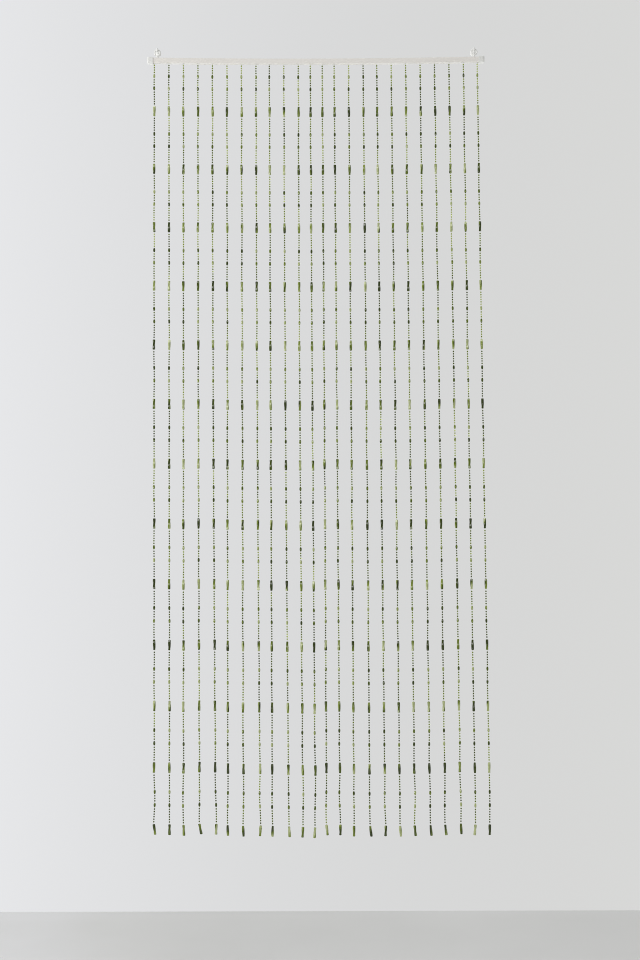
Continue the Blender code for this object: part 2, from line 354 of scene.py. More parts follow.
def facet_faces(rings, around):
    """Like ring_faces, for rings that are each turned half a step on from the last: pairs of
    triangles, so that every facet is flat."""
    ring = np.arange(rings - 1)[:, None] * around
    step = np.arange(around)[None, :]
    after = (step + 1) % around
    low = np.stack([ring + step, ring + after, ring + around + step], -1)
    high = np.stack([ring + after, ring + around + after, ring + around + step], -1)
    caps = np.stack([np.arange(around)[::-1], np.arange(around) + (rings - 1) * around])
    return [np.concatenate([low.reshape(-1, 3), high.reshape(-1, 3)]), caps]


def joined(parts):
    """Several (points, face groups) shells as one, each shell's corner numbers moved on."""
    points, groups, start = [], {}, 0
    for part_points, part_groups in parts:
        part_points = np.asarray(part_points).reshape(-1, 3)
        points.append(part_points)
        for group in part_groups:
            groups.setdefault(group.shape[1], []).append(group + start)
        start += len(part_points)
    return np.concatenate(points), [np.concatenate(g) for g in groups.values()]


def repeated(shape, face_groups, places, along, spins):
    """One shape set at many places: its Z runs `along` each string there, and it is spun about
    that axis. Returns all the points and the face groups of all the copies."""
    towards = np.array((0.0, -1.0, 0.0))
    side = np.cross(along, towards)
    side /= np.linalg.norm(side, axis=1, keepdims=True)
    front = np.cross(side, along)
    turn_x = np.cos(spins)[:, None] * side + np.sin(spins)[:, None] * front
    turn_y = np.cross(along, turn_x)
    points = (
        places[:, None, :]
        + shape[None, :, 0:1] * turn_x[:, None, :]
        + shape[None, :, 1:2] * turn_y[:, None, :]
        + shape[None, :, 2:3] * along[:, None, :]
    )
    starts = np.arange(len(places)) * len(shape)
    groups = [
        (group[None, :, :] + starts[:, None, None]).reshape(-1, group.shape[1])
        for group in face_groups
    ]
    return points.reshape(-1, 3), groups


# ---------------------------------------------------------------- how the strings hang


def sag(x):
    """The rail's bend at x: a parabola, nought over the eyes and lowest in the middle."""
    return -RAIL_SAG * (1 - (x / EYE_X) ** 2)


COLUMN = {name: STRINGS[:, k] for k, name in enumerate(STRING_COLUMNS)}
ROOT_X = np.concatenate(([0.0], np.cumsum(COLUMN["gap"][:-1]))) * MM - COLUMN["gap"].sum() * MM / 2
SWAY, BOW, SLACK = (COLUMN[name] * MM for name in ("sway", "bow", "slack"))
LEAN = np.radians(COLUMN["lean"])

# Each string strays a little from its line, as two slow waves across and two to and fro.
WAVES = 2
WAVE_LENGTH = DRAW.uniform(0.11, 0.31, (2, WAVES, len(STRINGS)))
WAVE_PHASE = DRAW.uniform(0.0, 2 * math.pi, (2, WAVES, len(STRINGS)))
WAVE_SIZE = np.array((0.00026, 0.00050))
FOOT_STRAY = np.array((3.3, 1.5))  # how many times as far at the foot
FOOT_REACH = 0.25
ROOT_REACH = 0.05


def stray(direction, string, drop):
    """How far a string strays across (0) or to and fro (1) at a drop: the sum of its sine waves,
    growing evenly from nought at the root over ROOT_REACH, and growing again over FOOT_REACH above
    the foot, where the least weight hangs on the thread."""
    angle = 2 * math.pi * drop / WAVE_LENGTH[direction][:, string] + WAVE_PHASE[direction][:, string]
    loose = 1 + (FOOT_STRAY[direction] - 1) * np.clip(1 - (STRING_DROP - drop) / FOOT_REACH, 0, 1)
    waves = WAVE_SIZE[direction] * np.sin(angle).sum(0)
    return waves * np.clip(drop / ROOT_REACH, 0, 1) * loose


def on_string(string, drop):
    """Centre points of strings at drops below the rail's underside: a straight line from root to
    foot, with its bow as a parabola and its stray added. It is lower by its slack, less
    HANG_SHORTER and plus an even tilt from string to string, all in proportion to the drop. Below
    its last tube's top it leans at that tube's own angle."""
    share = drop / STRING_DROP
    x = ROOT_X[string] + SWAY[string] * share + BOW[string] * 4 * share * (1 - share)
    y = np.full(drop.shape, RAIL_CENTRE_Y)
    hang = SLACK[string] - HANG_SHORTER + HANG_TILT * ROOT_X[string] / ROOT_X[-1]
    z = RAIL_UNDER + sag(ROOT_X[string]) - drop - hang * share
    tube_top = STRING_DROP - TUBE_LENGTH
    past = np.maximum(drop - tube_top, 0.0)
    held = np.minimum(drop, tube_top)
    x = x + stray(0, string, held) + past * np.tan(LEAN[string])
    y = y + stray(1, string, held)
    return np.stack([x, y, z], -1)


def runs_along(string, drop, reach):
    """Unit vectors up a string, between the points `reach` above and below each drop."""
    up = on_string(string, drop - reach) - on_string(string, drop + reach)
    return up / np.linalg.norm(up, axis=-1, keepdims=True)


def bead_drops():
    """Drops of one string's small beads, ovals and tubes. Going down from a tube come small beads,
    an oval, the middle small ones, an oval and small ones again, each a pitch from the last."""
    outer = TUBE_PITCH + SMALL_PITCH * np.arange(OUTER_SMALLS)
    oval = outer[-1] + OVAL_PITCH
    middle = oval + OVAL_PITCH + SMALL_PITCH * np.arange(MIDDLE_SMALLS)
    lower = np.concatenate([outer, middle, REPEAT - outer[::-1]])
    tubes = FIRST_TUBE_DROP + REPEAT * np.arange(TUBES)
    starts = tubes[:-1]
    above = FIRST_TUBE_DROP - REPEAT
    first = above + lower[OUTER_SMALLS - FIRST_SMALLS:]
    smalls = np.concatenate([first, (starts[:, None] + lower[None, :]).ravel()])
    ovals = np.concatenate([
        above + np.array((oval, REPEAT - oval)),
        (starts[:, None] + np.array((oval, REPEAT - oval))[None, :]).ravel(),
    ])
    return smalls, ovals, tubes


SMALL_DROPS, OVAL_DROPS, TUBE_DROPS = bead_drops()


# How the strings turn about themselves, and so where their flat faces catch the light: a slow
# turn of its own for each string, with a wave on it. Each bead is off that by a little of its own.
BEAD_TURN = 0.10
TURN_START = DRAW.uniform(0.0, 2 * math.pi, len(STRINGS))
TURN_RATE = DRAW.uniform(-5.0, 5.0, len(STRINGS))
TURN_WAVE = DRAW.uniform(0.5, 1.6, len(STRINGS))
TURN_WAVE_LENGTH = DRAW.uniform(0.25, 0.6, len(STRINGS))

# How pale the strings are along their length: a few sine waves for each, which are painted
# reflection, as of runs of facets catching the window's light, on top of a shade for those that are
# the darkest and the palest in the photograph, counted from 0 at the left.
PALE_WAVES = 3
PALE_LENGTH = DRAW.uniform(0.12, 0.75, (PALE_WAVES, len(STRINGS)))
PALE_PHASE = DRAW.uniform(0.0, 2 * math.pi, (PALE_WAVES, len(STRINGS)))
DARKER_STRINGS = [0, 8, 15, 17, 19, 20]
PALER_STRINGS = [2, 3, 6, 7, 9, 10, 21]
DARKER_SHADE = -0.12
PALER_SHADE = 0.10
STRING_SHADE = np.zeros(len(STRINGS))
STRING_SHADE[DARKER_STRINGS] = DARKER_SHADE
STRING_SHADE[PALER_STRINGS] = PALER_SHADE


def turn_of(string, drop):
    """A string's turn about itself, in radians, at a drop."""
    wave = TURN_WAVE[string] * np.sin(2 * math.pi * drop / TURN_WAVE_LENGTH[string])
    return TURN_START[string] + TURN_RATE[string] * drop + wave


def tone_of(string, drop, top, foot, run, own):
    """A bead's tone, 0 dark to 1 pale, partly painted light: a middle that goes evenly from the
    string's `top` to its `foot`, the string's own shade, then the sum of its waves at that drop
    over that sum's usual size, so that runs of neighbours go pale together (spread `run`), a painted
    reflection of the window as in facets that catch its light, and last the bead's own (spread
    `own`), all held from 0 to 1."""
    middle = top + (foot - top) * drop / STRING_DROP
    waves = np.sin(2 * math.pi * drop / PALE_LENGTH[:, string] + PALE_PHASE[:, string])
    # painted reflection: runs of neighbouring beads go pale together, as facets catching the window's
    # light
    alike = waves.sum(0) / math.sqrt(PALE_WAVES / 2)
    tone = middle + STRING_SHADE[string] + run * alike + DRAW.normal(0.0, own, drop.shape)
    return np.clip(tone, 0.0, 1.0)


# ---------------------------------------------------------------- the beads' shapes


def turned_bead(stations, around):
    """A faceted bead: a ring of `around` points at each (radius, height) station up its axis, each
    ring turned half a step on from the last."""
    radius, height = np.array(stations).T
    ring = np.arange(len(radius))[:, None]
    angle = 2 * math.pi * (np.arange(around)[None, :] + 0.5 * ring) / around
    x = radius[:, None] * np.cos(angle)
    y = radius[:, None] * np.sin(angle)
    z = np.broadcast_to(height[:, None], x.shape)
    return np.stack([x, y, z], -1).reshape(-1, 3), facet_faces(len(radius), around)


def small_bead():
    """A faceted round, a little wider than long: two bands of facets above its waist and two
    below."""
    half, wide = SMALL_LENGTH / 2, SMALL_WIDE / 2
    stations = ((0.45 * wide, -half), (0.86 * wide, -0.62 * half), (wide, 0.0),
                (0.86 * wide, 0.62 * half), (0.45 * wide, half))
    return turned_bead(stations, BEAD_SIDES)


def oval_bead():
    """A faceted oval with blunt ends, its widest band in the middle."""
    half, wide = OVAL_LENGTH / 2, OVAL_WIDE / 2
    stations = ((0.40 * wide, -half), (0.80 * wide, -0.74 * half), (wide, -0.26 * half),
                (wide, 0.26 * half), (0.80 * wide, 0.74 * half), (0.40 * wide, half))
    return turned_bead(stations, BEAD_SIDES)


def tube_bead():
    """A twisted bar: a square with cut corners carried up its axis while it makes a quarter turn,
    drawn in to a small collar at each end."""
    flat, half = TUBE_WIDE * TUBE_STOUT / 2, TUBE_LENGTH / 2
    cut = TUBE_CUT * flat
    quarter = np.arange(TUBE_FLATS)[:, None] * math.pi / 2
    side = np.array(((flat, cut - flat), (flat, flat - cut)))
    section_x = (np.cos(quarter) * side[:, 0] - np.sin(quarter) * side[:, 1]).ravel()
    section_y = (np.sin(quarter) * side[:, 0] + np.cos(quarter) * side[:, 1]).ravel()
    body = np.linspace(-1.0, 1.0, 7) * (half - TUBE_COLLAR)
    height = np.concatenate(([-half], body, [half]))
    scale = np.concatenate(([TUBE_COLLAR_WIDE], np.ones(len(body)), [TUBE_COLLAR_WIDE]))
    twist = math.pi / 2 * height / TUBE_LENGTH
    x = scale[:, None] * (np.cos(twist)[:, None] * section_x - np.sin(twist)[:, None] * section_y)
    y = scale[:, None] * (np.sin(twist)[:, None] * section_x + np.cos(twist)[:, None] * section_y)
    z = np.broadcast_to(height[:, None], x.shape)
    return np.stack([x, y, z], -1).reshape(-1, 3), ring_faces(len(height), len(section_x))


def painted_facet_sparkle(faces, beads, spread):
    """Tone offsets for every corner of `beads` copies of a shape: one for each facet, drawn from a
    bell curve: a painted sparkle, facets lighter and darker as if catching the light."""
    return [
        np.repeat(DRAW.normal(0.0, spread, (beads, len(group))), group.shape[1], axis=1)
        for group in faces
    ]


def painted_light_wedges(faces, beads, spread):
    """Tone offsets for a tube's corners, drawn from bell curves. The bar runs evenly from one tone
    at its foot to another at its top, and so does each of its flats, so that dark wedges wind round
    it: painted light and shade, pale flats as if turned to the window and dark ones as if turned
    away. A cut corner takes the mean of the flats beside it."""
    around = 2 * TUBE_FLATS
    rings = len(faces[0]) // around + 1
    own = DRAW.normal(0.0, spread, (2, beads, 1, TUBE_FLATS))
    foot, top = own + DRAW.normal(0.0, spread, (2, beads, 1, 1))
    flats = foot + (top - foot) * np.linspace(0, 1, rings)[None, :, None]
    between = (flats + np.roll(flats, -1, axis=2)) / 2
    sides = np.stack([flats, between], -1).reshape(beads, rings, around)
    low, high = sides[:, :-1], sides[:, 1:]
    ends = np.repeat(np.stack([foot.mean(-1), top.mean(-1)], 1), around, axis=1)
    return [np.stack([low, low, high, high], -1).reshape(beads, -1), ends.reshape(beads, -1)]


def strung(name, shape_and_faces, drops, strings, reach, finish, tone, offsets, smooth_under):
    """One kind of bead at every one of its places on some of the strings, as one mesh. `reach` is
    half a bead's length, `tone` what tone_of takes, and `offsets` the rule and the spread for the
    tones over one bead."""
    shape, faces = shape_and_faces
    string = np.repeat(strings, len(drops))
    drop = np.tile(drops, len(strings))
    spins = turn_of(string, drop) + DRAW.normal(0.0, BEAD_TURN, drop.shape)
    points, groups = repeated(
        shape, faces, on_string(string, drop), runs_along(string, drop, reach), spins)
    middle = tone_of(string, drop, **tone)[:, None]
    rule, spread = offsets
    tones = [(middle + offset).ravel() for offset in rule(faces, len(drop), spread)]
    return add_piece(name, points, groups, finish, smooth_under, np.concatenate(tones))


SMALL_LOTS = 3
# The pale end of each ramp is painted reflection: a whitened, duller green for facets that mirror the
# window.
SMALL_STOPS = ((0.0, (0.055, 0.080, 0.0)), (0.35, (0.160, 0.228, 0.004)),
               (0.65, (0.355, 0.462, 0.04)), (1.0, (0.67, 0.75, 0.28)))
LARGE_STOPS = ((0.0, (0.038, 0.058, 0.0)), (0.35, (0.116, 0.165, 0.006)),
               (0.65, (0.264, 0.340, 0.045)), (1.0, (0.55, 0.605, 0.30)))
# Each kind's middle tone goes from `top` to `foot`. On the small beads it falls: painted shade, where less
# light reaches the lower curtain. `run` is the spread of the painted reflections.
SMALL_TONE = {"top": 0.56, "foot": 0.15, "run": 0.23, "own": 0.10}
OVAL_TONE = {"top": 0.46, "foot": 0.44, "run": 0.22, "own": 0.44}
TUBE_TONE = {"top": 0.42, "foot": 0.48, "run": 0.20, "own": 0.08}
# The spreads of the painted sparkle on the facets and of the painted light and shade in the tubes' wedges.
SMALL_SPREAD, OVAL_SPREAD, TUBE_SPREAD = 0.12, 0.20, 0.40  # of the tones over one bead
TUBE_SMOOTH_UNDER = 30  # degrees: the twist is smooth along the bar, and its corners are sharp


def make_beads():
    """All the beads: the small ones in a few lots of strings, the ovals and the tubes."""
    small = bead_finish("clear_olive_small", SMALL_STOPS, clear=0.7, gloss=0.05)
    large = bead_finish("clear_olive", LARGE_STOPS, clear=0.35, gloss=0.2)
    everything = np.arange(len(STRINGS))
    made = []
    for lot, strings in enumerate(np.array_split(everything, SMALL_LOTS)):
        made.append(strung(f"small_beads_{lot + 1}", small_bead(), SMALL_DROPS, strings,
                           SMALL_LENGTH / 2, small, SMALL_TONE, (painted_facet_sparkle, SMALL_SPREAD), 0))
    made.append(strung("oval_beads", oval_bead(), OVAL_DROPS, everything,
                       OVAL_LENGTH / 2, large, OVAL_TONE, (painted_facet_sparkle, OVAL_SPREAD), 0))
    made.append(strung("tube_beads", tube_bead(), TUBE_DROPS, everything, TUBE_LENGTH / 2, large,
                       TUBE_TONE, (painted_light_wedges, TUBE_SPREAD), TUBE_SMOOTH_UNDER))
    return made


# ---------------------------------------------------------------- threads and strip


def swept(path, radii, around, up=(0.0, -1.0, 0.0)):
    """A round section carried along each of a stack of paths, with a radius at every point. Works
    for one path (points, 3) or many (paths, points, 3)."""
    if path.ndim == 2:
        path = path[None]
    radii = np.broadcast_to(radii, path.shape[:2])
    along = np.gradient(path, axis=1)
    along /= np.linalg.norm(along, axis=-1, keepdims=True)
    side = np.cross(along, np.broadcast_to(up, along.shape))
    side /= np.linalg.norm(side, axis=-1, keepdims=True)
    front = np.cross(along, side)
    angle = 2 * math.pi * np.arange(around) / around
    out = (side[:, :, None] * np.cos(angle)[None, None, :, None]
           + front[:, :, None] * np.sin(angle)[None, None, :, None])
    points = path[:, :, None] + radii[:, :, None, None] * out
    faces = ring_faces(path.shape[1], around)
    return joined([(p, faces) for p in points])


def make_threads():
    """A thin clear line down every string, from the strip to just inside its last tube's foot."""
    string = np.arange(len(STRINGS))
    tube_top = STRING_DROP - TUBE_LENGTH
    stations = np.concatenate((
        [THREAD_TOP, 0.002], np.arange(THREAD_STEP, tube_top, THREAD_STEP),
        [tube_top, STRING_DROP - THREAD_END]))
    drop = np.broadcast_to(stations[None, :], (len(string), len(stations)))
    which = np.broadcast_to(string[:, None], drop.shape)
    points, groups = swept(on_string(which, drop), THREAD_RADIUS, around=6)
    return add_piece("threads", points, groups, thread_finish(), 60)


def make_strip():
    """The narrow strip in the rail's groove that the threads are tied to: a small bar with rounded
    corners that sags with the rail, and a knot under it for each thread."""
    half = STRIP_WIDE / 2
    x = np.linspace(ROOT_X[0] - half, ROOT_X[-1] + half, 60)
    low = RAIL_UNDER + STRIP_RECESS
    section = rounded_section(STRIP_WIDE, STRIP_TALL, STRIP_CORNER, 3)
    bar = on_rail(section, x, low + STRIP_TALL / 2)
    knot = np.array([(0.15, -1.0), (0.75, -0.62), (1.0, -0.1), (0.8, 0.5), (0.35, 1.0)])
    angle = 2 * math.pi * np.arange(KNOT_SIDES) / KNOT_SIDES
    height = np.broadcast_to(knot[:, 1:], (len(knot), KNOT_SIDES))
    ring = [knot[:, :1] * np.cos(angle), knot[:, :1] * np.sin(angle), height]
    shape = (np.stack(ring, -1) * KNOT_HALF).reshape(-1, 3)
    y = np.full(len(ROOT_X), RAIL_CENTRE_Y)
    places = np.stack([ROOT_X, y, low + sag(ROOT_X) - KNOT_DROP], -1)
    upright = np.broadcast_to((0.0, 0.0, 1.0), places.shape)
    spins = ROOT_X * 40  # so that no two neighbours are turned alike
    knots = repeated(shape, ring_faces(len(knot), KNOT_SIDES), places, upright, spins)
    points, groups = joined([(bar, ring_faces(len(x), len(section))), knots])
    return add_piece("holding_strip", points, groups, moulded_finish(), 50)


# ---------------------------------------------------------------- the rail and its fittings


def rounded_section(deep, tall, corner, steps):
    """(y, z) points around an upright rectangle with round corners, going clockwise as seen from
    +X, so that a sweep towards +X has its faces outwards."""
    turn = np.radians(np.array((180, 90, 0, -90)))[:, None] + math.pi / 2
    angle = turn - math.pi / 2 * np.linspace(0, 1, steps + 1)[None, :]
    side = np.array(((-1, -1), (-1, 1), (1, 1), (1, -1)))
    middle = side * (np.array((deep, tall)) / 2 - corner)
    y = middle[:, :1] + corner * np.cos(angle)
    z = middle[:, 1:] + corner * np.sin(angle)
    return np.stack([y.ravel(), z.ravel()], -1)


def grooved_section():
    """The rail's section: a rounded rectangle with a groove up its underside, its lips eased."""
    ease, low, half = 0.0004, -RAIL_TALL / 2, GROOVE_WIDE / 2
    groove = np.array((
        (half + ease, low), (half, low + ease), (half, low + GROOVE_DEEP - ease),
        (half - ease, low + GROOVE_DEEP), (-half + ease, low + GROOVE_DEEP),
        (-half, low + GROOVE_DEEP - ease), (-half, low + ease), (-half - ease, low)))
    return np.concatenate([rounded_section(RAIL_DEEP, RAIL_TALL, RAIL_CORNER, 6), groove])


def on_rail(section, x, middle=RAIL_UNDER + RAIL_TALL / 2):
    """A (y, z) section, or one for each x, set across the sagging rail at each x."""
    x = np.asarray(x, float)
    section = np.broadcast_to(section, (len(x), *np.shape(section)[-2:]))
    y = RAIL_CENTRE_Y + section[:, :, 0]
    z = middle + sag(x)[:, None] + section[:, :, 1]
    return np.stack([np.broadcast_to(x[:, None], y.shape), y, z], -1)


def make_rail():
    """The rail: its grooved section carried along the sag."""
    half = RAIL_LENGTH / 2 - CAP_END - GAP
    section = grooved_section()
    x = np.linspace(-half, half, 81)
    points = on_rail(section, x)
    return add_piece("rail_bar", points, ring_faces(len(x), len(section)), rail_finish(), 35)


def make_cap(name, side, finish):
    """An end cap: in from the socket's floor to its mouth, over the lip, along the outside and
    round the closed end, whose edges are quarter ellipses, deep in front and behind and shallow
    above and below."""
    grown = GAP + CAP_WALL
    outer_x = RAIL_LENGTH / 2
    mouth_x = outer_x - CAP_LENGTH
    lip = 0.0004
    steps = 6

    def section(growth, corner, inset=(0.0, 0.0)):
        return rounded_section(RAIL_DEEP + 2 * (growth - inset[0]),
                               RAIL_TALL + 2 * (growth - inset[1]), corner, steps)

    inside, outside = RAIL_CORNER + GAP, RAIL_CORNER + grown
    rings = [
        (outer_x - CAP_END, section(GAP, inside)),
        (mouth_x + lip, section(GAP, inside)),
        (mouth_x, section(GAP + lip, inside + lip)),
        (mouth_x, section(grown - lip, outside - lip)),
        (mouth_x + lip, section(grown, outside)),
    ]
    for turn in np.linspace(0, math.pi / 2, 9):
        inset = CAP_NOSE[1:] * (1 - math.cos(turn))
        reach = outer_x - CAP_NOSE[0] * (1 - math.sin(turn))
        rings.append((reach, section(grown, outside - inset[1], inset)))
    x = np.array([ring[0] for ring in rings])
    sections = np.stack([ring[1] for ring in rings])
    points = on_rail(sections, side * x)
    faces = ring_faces(len(x), sections.shape[1])
    if side < 0:
        faces = [group[:, ::-1] for group in faces]
    return add_piece(name, points, faces, finish, 40)


def make_eye(name, side, finish):
    """A screw eye bent from one wire, which rises from a collar, bends to the right, goes once
    round a ring and stops just short of its own neck. The path is a line, the arc of a small
    circle and that of the ring, each tangent to the last. Its end is rounded off. The collar and
    the shank under it are turned, with their edges eased."""
    minor = EYE_WIRE / 2
    major = EYE_OUTER / 2 - minor
    centre = np.array((side * EYE_X, RAIL_CENTRE_Y, RING_Z))
    foot = RAIL_TOP - RING_Z + EYE_SEAT
    neck = foot + EYE_COLLAR_TALL
    bend_z = -math.sqrt(major**2 + 2 * EYE_BEND * major)
    swing = math.atan2(-bend_z, EYE_BEND)
    rise = np.linspace(neck - 0.0012, bend_z, 5)[:-1]
    bend = math.pi - swing * np.linspace(0, 1, 9)[:-1]
    ring = np.linspace(-swing, math.radians(EYE_END), 56)
    x = np.concatenate([0 * rise, EYE_BEND * (1 + np.cos(bend)), major * np.cos(ring)])
    z = np.concatenate([rise, bend_z + EYE_BEND * np.sin(bend), major * np.sin(ring)])
    radii = np.interp(np.arange(len(x)), (len(rise), len(rise) + len(bend)), (EYE_NECK_RADIUS, minor))
    round_end = np.array((0.99, 0.93, 0.78, 0.40))
    radii[-len(round_end):] = minor * round_end
    wire = swept(centre + np.stack([x, 0 * x, z], -1), radii, WIRE_SIDES)
    shank_end = RAIL_TOP - RING_Z - EYE_SHANK_LENGTH
    profile = np.array((
        (EYE_SHANK_RADIUS * 0.3, shank_end),
        (EYE_SHANK_RADIUS, shank_end + 0.003),
        (EYE_SHANK_RADIUS, foot),
        (EYE_COLLAR_RADIUS - 0.0003, foot),
        (EYE_COLLAR_RADIUS, foot + 0.0003),
        (EYE_COLLAR_RADIUS, neck - 0.0005),
        (EYE_COLLAR_RADIUS - 0.0004, neck - 0.0001),
        (EYE_NECK_RADIUS + 0.0006, neck + 0.0002),
        (EYE_NECK_RADIUS, neck + 0.0009),
        (EYE_NECK_RADIUS * 0.6, neck + 0.0010)))
    angle = 2 * math.pi * np.arange(TURNED_SIDES) / TURNED_SIDES
    turned = np.stack([
        profile[:, :1] * np.cos(angle), profile[:, :1] * np.sin(angle),
        np.broadcast_to(profile[:, 1:], (len(profile), TURNED_SIDES))], -1)
    stem = (centre + turned, ring_faces(len(profile), TURNED_SIDES))
    points, groups = joined([wire, stem])
    return add_piece(name, points, groups, finish, 50)


def make_hook(name, side, finish):
    """A cup hook: a round plate with an eased rim and a fillet to its shank, a quarter-circle bend
    and an upturned tip with a round end. One skin of rings square to the wire, whose radius steps
    down from the plate to the wire."""
    edge = 0.0008
    plate = [
        (0.0, HOOK_PLATE_RADIUS), (-HOOK_PLATE_THICK + edge, HOOK_PLATE_RADIUS),
        (-HOOK_PLATE_THICK + 0.3 * edge, HOOK_PLATE_RADIUS - 0.3 * edge),
        (-HOOK_PLATE_THICK, HOOK_PLATE_RADIUS - edge),
        (-HOOK_PLATE_THICK - 0.0002, HOOK_WIRE_RADIUS + 0.0012),
        (-HOOK_PLATE_THICK - 0.0009, HOOK_WIRE_RADIUS + 0.0002),
        (-HOOK_PLATE_THICK - 0.0016, HOOK_WIRE_RADIUS),
    ]
    y, z, turn, radius = (list(v) for v in zip(*[(a, 0.0, 0.0, r) for a, r in plate]))
    for angle in np.linspace(0, math.pi / 2, 9):
        y.append(-(HOOK_REACH - HOOK_BEND) - HOOK_BEND * math.sin(angle))
        z.append(HOOK_BEND * (1 - math.cos(angle)))
        turn.append(angle)
        radius.append(HOOK_WIRE_RADIUS)
    for share in np.sin(np.linspace(0, 0.47 * math.pi, 6)):
        y.append(-HOOK_REACH)
        z.append(HOOK_TIP_RISE - HOOK_WIRE_RADIUS * (1 - share))
        turn.append(math.pi / 2)
        radius.append(HOOK_WIRE_RADIUS * math.sqrt(1 - share**2))
    y, z, turn, radius = (np.array(v)[:, None] for v in (y, z, turn, radius))
    around = 2 * math.pi * np.arange(TURNED_SIDES)[None, :] / TURNED_SIDES
    across = radius * np.cos(around)
    up = radius * np.sin(around)
    points = np.stack([side * EYE_X + across, y + up * np.sin(turn), z + up * np.cos(turn)], -1)
    return add_piece(name, points, ring_faces(len(y), TURNED_SIDES), finish, 50)


# ---------------------------------------------------------------- the studio


FLOOR_Z = -2.235
FLOOR_HALF = 5.0
FLOOR_FRONT = -7.0
FLOOR_BACK = 0.021
FLOOR_SKEW = 0.0376
# The floor's painted window light: paler to the left of FLOOR_PALE_FROM, over FLOOR_PALE_REACH.
FLOOR_PALE_FROM = -0.2
FLOOR_PALE_REACH = 0.6
FLOOR_PALER = 0.6
FLOOR_DARKER = 0.3
FLOOR_STOPS = (
    (0.0, (0.60, 0.60, 0.59)), (0.4, (0.64, 0.64, 0.63)), (1.0, (0.745, 0.745, 0.755)))

# Directions in the world are parts of a unit vector: X to the right, Y inward and Z up.
# Painted light on the backdrop: brightest to the left, as a wall lit by the window at the left.
BACKDROP_CURVE = 0.822
BACKDROP_SLOPE = -0.297
BACKDROP_MIDDLE = 0.711
BACKDROP_MOST = 0.82
COLOUR_SPAN = (-0.25, 0.25)
COOL_LEFT = (0.971, 0.980, 1.0, 1.0)
WARM_RIGHT = (0.994, 1.0, 0.985, 1.0)
ROOM_LIGHT = 0.36
WALL_LIGHT = 0.70
WALL_SPAN = (-0.5, 0.6)
CEILING_LIGHT = 0.34
CEILING_SPAN = (0.2, 0.8)
BELOW_LIGHT = 1.10
BELOW_SPAN = (-0.3, -0.8)

WINDOW_PLACE = (-4.6, -4.0, -0.1)
WINDOW_AIM = (0.0, 0.0, -0.6)
WINDOW_SIZE = (2.8, 4.2)
WINDOW_POWER = 200.0
WINDOW_COLOUR = (1.0, 0.995, 0.98)

CAMERA_PLACE = (-0.0486, -3.450, -1.3738)
CAMERA_YAW, CAMERA_PITCH, CAMERA_ROLL = (math.radians(a) for a in (-0.827, 3.985, 0.494))
CAMERA_LENS = 50.0
CAMERA_SENSOR = 36.0
CAMERA_FAR = 50.0


def make_floor():
    """A plain pale floor whose back edge runs under the curtain, a little askew to it. It is
    clouded, and grows evenly paler to the left over FLOOR_PALE_REACH: painted light, where the
    window's light would fall."""
    finish = Finish("pale_floor")
    cloud = finish.noise(2.0, 3.0)
    place = finish.node("ShaderNodeTexCoord", output="Object")
    across = finish.node("ShaderNodeSeparateXYZ", None, {"Vector": place}, "X")
    # painted light: the floor grows paler to the left, where the window's light would fall
    painted_window_light = ((FLOOR_PALE_FROM - across) * (1 / FLOOR_PALE_REACH)).kept(0.0, 1.0)
    pale = cloud - FLOOR_DARKER + painted_window_light * FLOOR_PALER
    finish.feed("Base Color", pale.ramp(FLOOR_STOPS))
    finish.feed("Roughness", 0.55 + cloud * 0.2)
    back = FLOOR_SKEW * FLOOR_HALF
    points = np.array([
        (-FLOOR_HALF, FLOOR_FRONT, FLOOR_Z), (FLOOR_HALF, FLOOR_FRONT, FLOOR_Z),
        (FLOOR_HALF, FLOOR_BACK - back, FLOOR_Z), (-FLOOR_HALF, FLOOR_BACK + back, FLOOR_Z)])
    add_piece("floor", points, [np.array([[0, 1, 2, 3]])], finish.material, 0)


